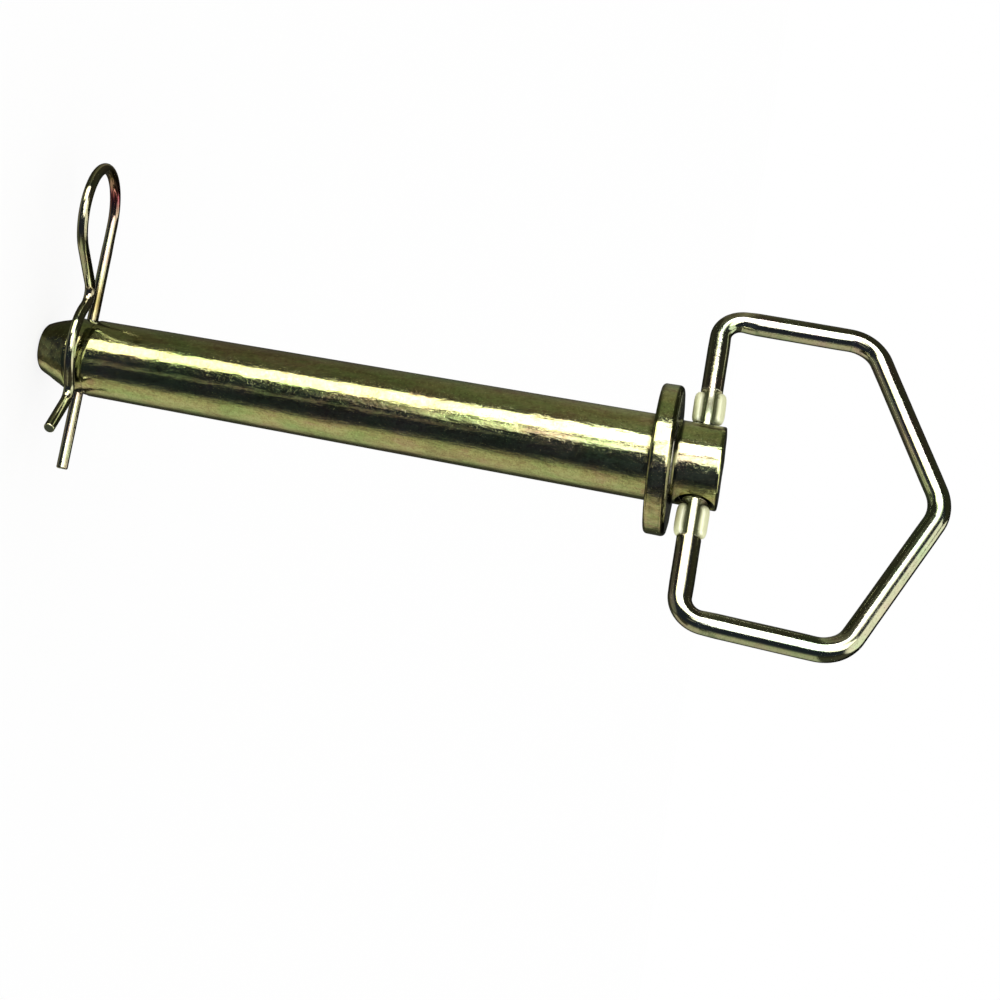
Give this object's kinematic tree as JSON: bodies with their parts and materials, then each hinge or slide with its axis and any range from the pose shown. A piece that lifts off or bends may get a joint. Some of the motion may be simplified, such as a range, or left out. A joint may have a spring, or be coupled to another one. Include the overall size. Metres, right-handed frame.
{
  "type": "hitch pin lock",
  "caption": "Forged hitch pin with a round collar, a swivelling wire handle on its head and a hairpin clip through its tip, for coupling a drawbar to a towed implement.",
  "frame": {"origin": "centre of the collar's seat face, the face towards the shank", "axes": "+Z along the pin towards the head, +X along the cross hole that the handle swivels in, +Y away from the side the clip's spring leg lies on"},
  "size_m": [0.0913, 0.0613, 0.2405],
  "materials": {
    "zinc_forging": "yellow chromate zinc plating, glossy, slightly iridescent",
    "zinc_wire": "yellow chromate zinc plating, glossy",
    "zinc_clip": "yellow chromate zinc plating, glossy"
  },
  "bodies": {
    "pin_body": {"hitch_pin": "zinc_forging"},
    "handle_body": {"swivel_handle": "zinc_wire"},
    "clip_body": {"clip_straight_leg": "zinc_clip"},
    "clip_spring_body": {"clip_spring_leg": "zinc_clip"}
  },
  "joints": [
    {"name": "handle_swivel", "type": "hinge", "parent": "pin_body", "child": "handle_body", "pos_m": [0, 0, 0.0113], "axis": [1, 0, 0], "range_deg": [-156.8, 163.2]},
    {"name": "clip_pull", "type": "slide", "parent": "pin_body", "child": "clip_body", "axis": [-0.9361, -0.3518, 0], "range_m": [0, 0.06], "deforming": ["clip_spring_leg"]},
    {"name": "clip_flex", "type": "hinge", "parent": "clip_body", "child": "clip_spring_body", "pos_m": [-0.04342, -0.01881, -0.15859], "axis": [0.0245, -0.0653, -0.9976], "range_deg": [0, 8], "stiffness_Nm_per_rad": 4, "deforming": ["clip_spring_leg"]}
  ]
}
